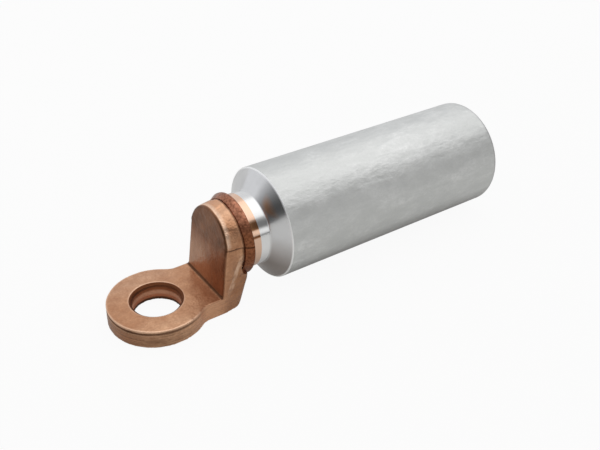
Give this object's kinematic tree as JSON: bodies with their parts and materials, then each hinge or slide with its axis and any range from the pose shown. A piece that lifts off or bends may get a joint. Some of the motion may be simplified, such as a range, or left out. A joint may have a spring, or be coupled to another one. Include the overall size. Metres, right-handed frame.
{
  "type": "bimetallic cable lug",
  "caption": "Bimetallic cable lug: a forged copper palm with a round bolt hole, welded end to end to a turned aluminium barrel with a blind cable bore.",
  "frame": {"origin": "centre of the bolt hole on the palm's flat contact face", "axes": "+X along the barrel, towards its open end; +Z out of the palm, away from the contact face; +Y completes a right-handed frame"},
  "size_m": [0.1227, 0.032, 0.0338],
  "materials": {
    "copper": "forged and blasted on the palm, turned bright on the collar and the neck",
    "aluminium": "satin on the barrel, turned bright on the cone and the neck"
  },
  "bodies": {
    "root": {"copper_palm": "copper", "aluminium_barrel": "aluminium"}
  },
  "joints": []
}
